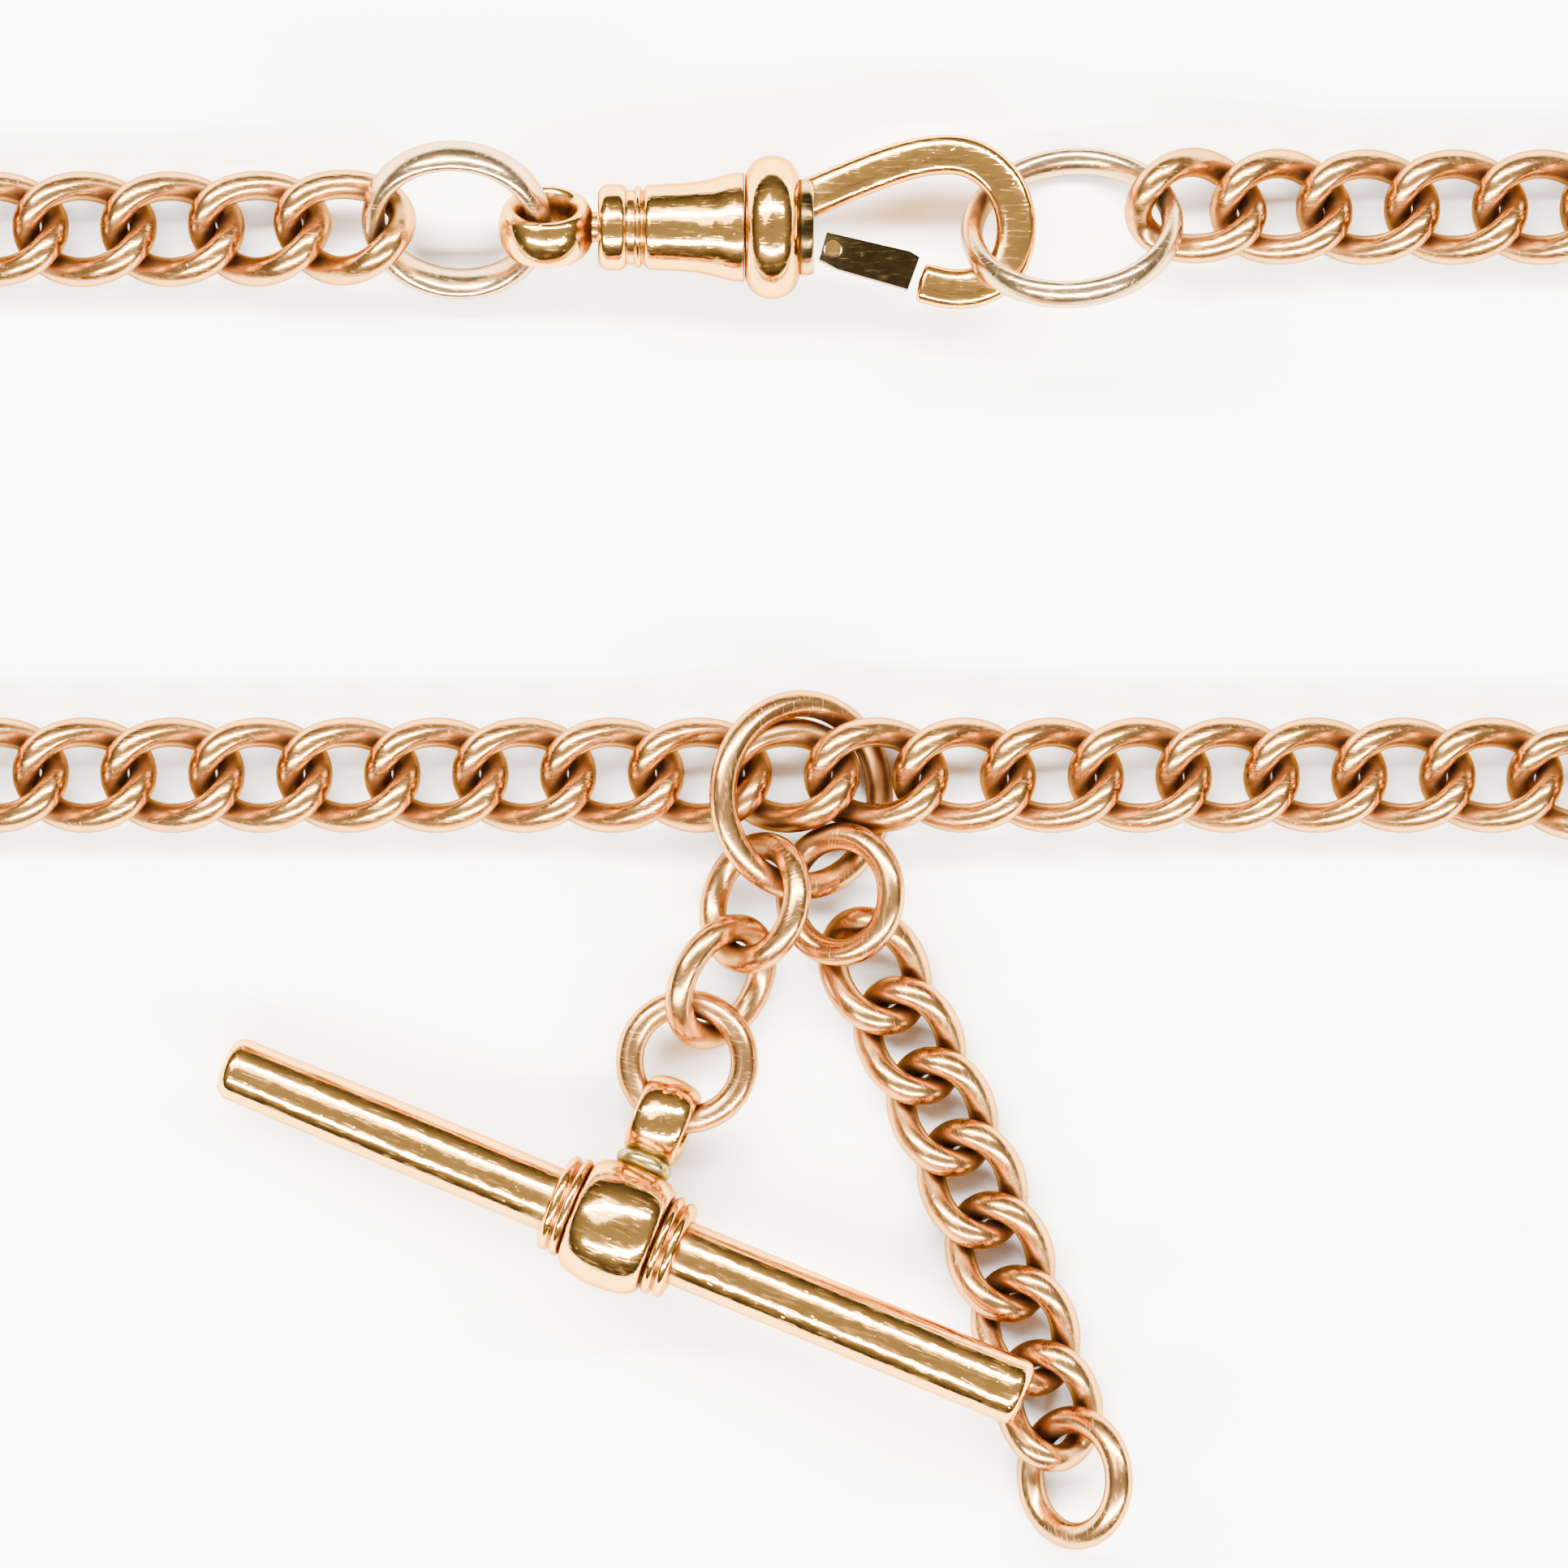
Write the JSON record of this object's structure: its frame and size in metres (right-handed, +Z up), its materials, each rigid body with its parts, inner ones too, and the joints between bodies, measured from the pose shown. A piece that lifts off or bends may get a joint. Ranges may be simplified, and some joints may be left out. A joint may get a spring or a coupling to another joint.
{
  "type": "pocket watch chain",
  "caption": "Curb-link pocket watch chain with a swivel clip, a T-bar toggle and a short drop chain ending in a jump ring, laid flat in a loop.",
  "frame": {"origin": "middle of the box in plan, on the table the chain lies on", "axes": "+X along the two long rows, left to right; +Y from the lower row to the swivel row; +Z up from the table"},
  "size_m": [0.0988, 0.0572, 0.0068],
  "materials": {
    "rose_gold": "polished",
    "pale_gold": "polished",
    "yellow_gold": "polished",
    "dark_gate": "tarnished"
  },
  "bodies": {
    "centre_ring": {"centre_ring": "rose_gold"},
    "drop_link_1": {"drop_link_1": "rose_gold"},
    "drop_link_2": {"drop_link_2": "rose_gold"},
    "drop_link_3": {"drop_link_3": "rose_gold"},
    "drop_link_4": {"drop_link_4": "rose_gold"},
    "drop_link_5": {"drop_link_5": "rose_gold"},
    "drop_link_6": {"drop_link_6": "rose_gold"},
    "drop_link_7": {"drop_link_7": "rose_gold"},
    "drop_ring": {"drop_ring": "rose_gold"},
    "end_ring": {"end_ring": "rose_gold"},
    "gate_lever": {"gate_lever": "dark_gate"},
    "swivel": {"gate_pin": "dark_gate", "swivel_barrel": "yellow_gold", "swivel_collar": "yellow_gold", "swivel_hook": "yellow_gold"},
    "left_ring": {"left_ring": "pale_gold"},
    "lower_link_left_1": {"lower_link_left_1": "rose_gold"},
    "lower_link_left_2": {"lower_link_left_2": "rose_gold"},
    "lower_link_left_3": {"lower_link_left_3": "rose_gold"},
    "lower_link_left_4": {"lower_link_left_4": "rose_gold"},
    "lower_link_left_5": {"lower_link_left_5": "rose_gold"},
    "lower_link_left_6": {"lower_link_left_6": "rose_gold"},
    "lower_link_left_7": {"lower_link_left_7": "rose_gold"},
    "lower_link_left_8": {"lower_link_left_8": "rose_gold"},
    "lower_link_middle": {"lower_link_middle": "rose_gold"},
    "lower_link_right_1": {"lower_link_right_1": "rose_gold"},
    "lower_link_right_2": {"lower_link_right_2": "rose_gold"},
    "lower_link_right_3": {"lower_link_right_3": "rose_gold"},
    "lower_link_right_4": {"lower_link_right_4": "rose_gold"},
    "lower_link_right_5": {"lower_link_right_5": "rose_gold"},
    "lower_link_right_6": {"lower_link_right_6": "rose_gold"},
    "lower_link_right_7": {"lower_link_right_7": "rose_gold"},
    "lower_link_right_8": {"lower_link_right_8": "rose_gold"},
    "right_ring": {"right_ring": "pale_gold"},
    "swivel_loop": {"swivel_loop": "yellow_gold", "swivel_post": "yellow_gold"},
    "toggle": {"toggle_bar": "yellow_gold", "toggle_barrel": "yellow_gold", "toggle_collar_left": "yellow_gold", "toggle_collar_right": "yellow_gold", "toggle_eye": "yellow_gold"},
    "toggle_ring_1": {"toggle_ring_1": "rose_gold"},
    "toggle_ring_2": {"toggle_ring_2": "rose_gold"},
    "toggle_ring_3": {"toggle_ring_3": "rose_gold"},
    "turn_left_link_first": {"turn_left_link_first": "rose_gold"},
    "turn_left_link_last": {"turn_left_link_last": "rose_gold"},
    "turn_left_links": {"turn_left_links": "rose_gold"},
    "turn_right_link_last": {"turn_right_link_last": "rose_gold"},
    "turn_right_links": {"turn_right_links": "rose_gold"},
    "upper_left_link_1": {"upper_left_link_1": "rose_gold"},
    "upper_left_link_2": {"upper_left_link_2": "rose_gold"},
    "upper_left_link_3": {"upper_left_link_3": "rose_gold"},
    "upper_left_link_4": {"upper_left_link_4": "rose_gold"},
    "upper_right_link_1": {"upper_right_link_1": "rose_gold"},
    "upper_right_link_2": {"upper_right_link_2": "rose_gold"},
    "upper_right_link_3": {"upper_right_link_3": "rose_gold"},
    "upper_right_link_4": {"upper_right_link_4": "rose_gold"}
  },
  "joints": [
    {"name": "roll_left_1", "type": "hinge", "parent": "lower_link_middle", "child": "lower_link_left_1", "pos_m": [-0.00049, 0.00275, 0.00191], "axis": [0.9983, 0, 0.0578], "range_deg": [-3, 3]},
    {"name": "roll_left_2", "type": "hinge", "parent": "lower_link_left_1", "child": "lower_link_left_2", "pos_m": [-0.00049, 0.00275, 0.00191], "axis": [0.9983, 0, 0.0578], "range_deg": [-6, 6]},
    {"name": "roll_left_3", "type": "hinge", "parent": "lower_link_left_2", "child": "lower_link_left_3", "pos_m": [-0.00049, 0.00275, 0.00191], "axis": [0.9983, 0, 0.0578], "range_deg": [-3, 3]},
    {"name": "fold_left_1", "type": "hinge", "parent": "lower_link_left_3", "child": "lower_link_left_4", "pos_m": [-0.01117, 0.00275, 0.00147], "axis": [0.083, 0.9942, 0.0688], "range_deg": [-7, 7]},
    {"name": "fold_left_2", "type": "hinge", "parent": "lower_link_left_4", "child": "lower_link_left_5", "pos_m": [-0.01473, 0.00275, 0.00146], "axis": [0.0065, -0.998, -0.0632], "range_deg": [-10, 10]},
    {"name": "fold_left_3", "type": "hinge", "parent": "lower_link_left_5", "child": "lower_link_left_6", "pos_m": [-0.01829, 0.00275, 0.00146], "axis": [-0.002, 0.9997, 0.0253], "range_deg": [-10, 10]},
    {"name": "fold_left_4", "type": "hinge", "parent": "lower_link_left_6", "child": "lower_link_left_7", "pos_m": [-0.02185, 0.00275, 0.00146], "axis": [0, -1, 0], "range_deg": [-10, 10]},
    {"name": "fold_left_5", "type": "hinge", "parent": "lower_link_left_7", "child": "lower_link_left_8", "pos_m": [-0.02541, 0.00275, 0.00146], "axis": [0, 1, 0], "range_deg": [-10, 10]},
    {"name": "fold_left_6", "type": "hinge", "parent": "lower_link_left_8", "child": "turn_left_link_first", "pos_m": [-0.02897, 0.00275, 0.00146], "axis": [0, -1, 0], "range_deg": [-10, 10]},
    {"name": "fold_left_7", "type": "hinge", "parent": "turn_left_link_first", "child": "turn_left_links", "pos_m": [-0.03253, 0.00275, 0.00146], "axis": [0, 1, 0], "range_deg": [-10, 10]},
    {"name": "fold_left_7_above", "type": "hinge", "parent": "turn_left_links", "child": "turn_left_link_last", "pos_m": [-0.03253, 0.00275, 0.00146], "axis": [0, 1, 0], "range_deg": [-10, 10]},
    {"name": "fold_left_6_above", "type": "hinge", "parent": "turn_left_link_last", "child": "upper_left_link_4", "pos_m": [-0.02897, 0.00275, 0.00146], "axis": [0, -1, 0], "range_deg": [-10, 10]},
    {"name": "fold_left_5_above", "type": "hinge", "parent": "upper_left_link_4", "child": "upper_left_link_3", "pos_m": [-0.02541, 0.00275, 0.00146], "axis": [0, 1, 0], "range_deg": [-10, 10]},
    {"name": "fold_left_4_above", "type": "hinge", "parent": "upper_left_link_3", "child": "upper_left_link_2", "pos_m": [-0.02185, 0.00275, 0.00146], "axis": [0, -1, 0], "range_deg": [-10, 10]},
    {"name": "fold_left_3_above", "type": "hinge", "parent": "upper_left_link_2", "child": "upper_left_link_1", "pos_m": [-0.01829, 0.00275, 0.00146], "axis": [-0.002, 0.9997, 0.0253], "range_deg": [-10, 10]},
    {"name": "fold_left_2_above", "type": "hinge", "parent": "upper_left_link_1", "child": "left_ring", "pos_m": [-0.01473, 0.00275, 0.00146], "axis": [0.0065, -0.998, -0.0632], "range_deg": [-10, 10]},
    {"name": "fold_left_1_above", "type": "hinge", "parent": "left_ring", "child": "swivel_loop", "pos_m": [-0.01117, 0.00275, 0.00147], "axis": [0.083, 0.9942, 0.0688], "range_deg": [-7, 7]},
    {"name": "swivel_turn", "type": "hinge", "parent": "swivel_loop", "child": "swivel", "pos_m": [-0.00635, 0.02484, 0.003], "axis": [1, 0, 0], "range_deg": [-3, 20]},
    {"name": "gate_open", "type": "hinge", "parent": "swivel", "child": "gate_lever", "pos_m": [0.0031, 0.02394, 0.003], "axis": [0, 0, 1], "range_deg": [0, 24]},
    {"name": "roll_right_1", "type": "hinge", "parent": "lower_link_middle", "child": "lower_link_right_1", "pos_m": [0.00307, 0.00275, 0.00217], "axis": [0.9989, 0, -0.047], "range_deg": [-2.5, 2.5]},
    {"name": "roll_right_2", "type": "hinge", "parent": "lower_link_right_1", "child": "lower_link_right_2", "pos_m": [0.00307, 0.00275, 0.00217], "axis": [0.9989, 0, -0.047], "range_deg": [-2.5, 2.5]},
    {"name": "fold_right_1", "type": "hinge", "parent": "lower_link_right_2", "child": "lower_link_right_3", "pos_m": [0.01019, 0.00275, 0.00184], "axis": [0.0355, -0.998, -0.0516], "range_deg": [-6, 6]},
    {"name": "fold_right_2", "type": "hinge", "parent": "lower_link_right_3", "child": "lower_link_right_4", "pos_m": [0.01375, 0.00275, 0.00159], "axis": [0.0983, 0.9936, 0.055], "range_deg": [-10, 10]},
    {"name": "fold_right_3", "type": "hinge", "parent": "lower_link_right_4", "child": "lower_link_right_5", "pos_m": [0.01731, 0.00275, 0.00149], "axis": [-0.0941, -0.9953, -0.0231], "range_deg": [-10, 10]},
    {"name": "fold_right_4", "type": "hinge", "parent": "lower_link_right_5", "child": "lower_link_right_6", "pos_m": [0.02087, 0.00275, 0.00146], "axis": [0.0922, 0.9957, -0.0001], "range_deg": [-10, 10]},
    {"name": "fold_right_5", "type": "hinge", "parent": "lower_link_right_6", "child": "lower_link_right_7", "pos_m": [0.02443, 0.00275, 0.00146], "axis": [-0.0922, -0.9957, 0], "range_deg": [-10, 10]},
    {"name": "fold_right_6", "type": "hinge", "parent": "lower_link_right_7", "child": "lower_link_right_8", "pos_m": [0.02799, 0.00275, 0.00146], "axis": [0.0922, 0.9957, 0], "range_deg": [-10, 10]},
    {"name": "fold_right_7", "type": "hinge", "parent": "lower_link_right_8", "child": "turn_right_links", "pos_m": [0.03155, 0.00275, 0.00146], "axis": [-0.0922, -0.9957, 0], "range_deg": [-10, 10]},
    {"name": "fold_right_7_above", "type": "hinge", "parent": "turn_right_links", "child": "turn_right_link_last", "pos_m": [0.03155, 0.00275, 0.00146], "axis": [-0.0922, -0.9957, 0], "range_deg": [-10, 10]},
    {"name": "fold_right_6_above", "type": "hinge", "parent": "turn_right_link_last", "child": "upper_right_link_4", "pos_m": [0.02799, 0.00275, 0.00146], "axis": [0.0922, 0.9957, 0], "range_deg": [-10, 10]},
    {"name": "fold_right_5_above", "type": "hinge", "parent": "upper_right_link_4", "child": "upper_right_link_3", "pos_m": [0.02443, 0.00275, 0.00146], "axis": [-0.0922, -0.9957, 0], "range_deg": [-10, 10]},
    {"name": "fold_right_4_above", "type": "hinge", "parent": "upper_right_link_3", "child": "upper_right_link_2", "pos_m": [0.02087, 0.00275, 0.00146], "axis": [0.0922, 0.9957, -0.0001], "range_deg": [-10, 10]},
    {"name": "fold_right_3_above", "type": "hinge", "parent": "upper_right_link_2", "child": "upper_right_link_1", "pos_m": [0.01731, 0.00275, 0.00149], "axis": [-0.0941, -0.9953, -0.0231], "range_deg": [-10, 10]},
    {"name": "fold_right_2_above", "type": "hinge", "parent": "upper_right_link_1", "child": "right_ring", "pos_m": [0.01375, 0.00275, 0.00159], "axis": [0.0983, 0.9936, 0.055], "range_deg": [-10, 10]},
    {"name": "centre_ring_turn", "type": "hinge", "parent": "lower_link_middle", "child": "centre_ring", "pos_m": [0.00307, 0.00275, 0.00217], "axis": [0, 0, 1], "range_deg": [-2, 2]},
    {"name": "toggle_ring_1_swing", "type": "hinge", "parent": "centre_ring", "child": "toggle_ring_1", "pos_m": [0.00056, -0.00143, 0.00324], "axis": [0.7841, -0.4067, -0.4687], "range_deg": [-12, 12]},
    {"name": "toggle_ring_2_swing", "type": "hinge", "parent": "toggle_ring_1", "child": "toggle_ring_2", "pos_m": [-0.00099, -0.00453, 0.00275], "axis": [0.6055, -0.3493, 0.7151], "range_deg": [-12, 7]},
    {"name": "toggle_ring_3_swing", "type": "hinge", "parent": "toggle_ring_2", "child": "toggle_ring_3", "pos_m": [-0.00236, -0.00774, 0.00237], "axis": [0.5926, -0.1937, -0.7819], "range_deg": [-12, 12]},
    {"name": "toggle_turn", "type": "hinge", "parent": "toggle_ring_3", "child": "toggle", "pos_m": [-0.00367, -0.01099, 0.00222], "axis": [0.9162, -0.3746, 0.1425], "range_deg": [-12, 9]},
    {"name": "drop_ring_swing", "type": "hinge", "parent": "centre_ring", "child": "drop_ring", "pos_m": [0.00283, -0.00157, 0.00189], "axis": [0.8157, 0.309, -0.489], "range_deg": [-3, 10]},
    {"name": "drop_swing_1", "type": "hinge", "parent": "drop_ring", "child": "drop_link_1", "pos_m": [0.00408, -0.00376, 0.00155], "axis": [0, 0, 1], "range_deg": [0, 12]},
    {"name": "drop_swing_2", "type": "hinge", "parent": "drop_link_1", "child": "drop_link_2", "pos_m": [0.00554, -0.00657, 0.00147], "axis": [0, 0, 1], "range_deg": [0, 12]},
    {"name": "drop_swing_3", "type": "hinge", "parent": "drop_link_2", "child": "drop_link_3", "pos_m": [0.00691, -0.00942, 0.00144], "axis": [0, 0, 1], "range_deg": [0, 12]},
    {"name": "drop_swing_4", "type": "hinge", "parent": "drop_link_3", "child": "drop_link_4", "pos_m": [0.00818, -0.01232, 0.00142], "axis": [0, 0, 1], "range_deg": [0, 12]},
    {"name": "drop_swing_5", "type": "hinge", "parent": "drop_link_4", "child": "drop_link_5", "pos_m": [0.00935, -0.01526, 0.00141], "axis": [0, 0, 1], "range_deg": [0, 12]},
    {"name": "drop_swing_6", "type": "hinge", "parent": "drop_link_5", "child": "drop_link_6", "pos_m": [0.01043, -0.01823, 0.0014], "axis": [0, 0, 1], "range_deg": [0, 12]},
    {"name": "drop_swing_7", "type": "hinge", "parent": "drop_link_6", "child": "drop_link_7", "pos_m": [0.01141, -0.02124, 0.0014], "axis": [0, 0, 1], "range_deg": [0, 12]},
    {"name": "end_ring_swing", "type": "hinge", "parent": "drop_link_7", "child": "end_ring", "pos_m": [0.01229, -0.02428, 0.0014], "axis": [0, 0, 1], "range_deg": [0, 12]}
  ],
  "couplings": [
    {"joint": "roll_left_2", "follows": "roll_left_1", "ratio": -2},
    {"joint": "roll_left_3", "follows": "roll_left_1", "ratio": 1},
    {"joint": "fold_left_7_above", "follows": "fold_left_7", "ratio": -1},
    {"joint": "fold_left_6_above", "follows": "fold_left_6", "ratio": -1},
    {"joint": "fold_left_5_above", "follows": "fold_left_5", "ratio": -1},
    {"joint": "fold_left_4_above", "follows": "fold_left_4", "ratio": -1},
    {"joint": "fold_left_3_above", "follows": "fold_left_3", "ratio": -1},
    {"joint": "fold_left_2_above", "follows": "fold_left_2", "ratio": -1},
    {"joint": "fold_left_1_above", "follows": "fold_left_1", "ratio": -1},
    {"joint": "roll_right_2", "follows": "roll_right_1", "ratio": -1},
    {"joint": "fold_right_7_above", "follows": "fold_right_7", "ratio": -1},
    {"joint": "fold_right_6_above", "follows": "fold_right_6", "ratio": -1},
    {"joint": "fold_right_5_above", "follows": "fold_right_5", "ratio": -1},
    {"joint": "fold_right_4_above", "follows": "fold_right_4", "ratio": -1},
    {"joint": "fold_right_3_above", "follows": "fold_right_3", "ratio": -1},
    {"joint": "fold_right_2_above", "follows": "fold_right_2", "ratio": -1}
  ]
}
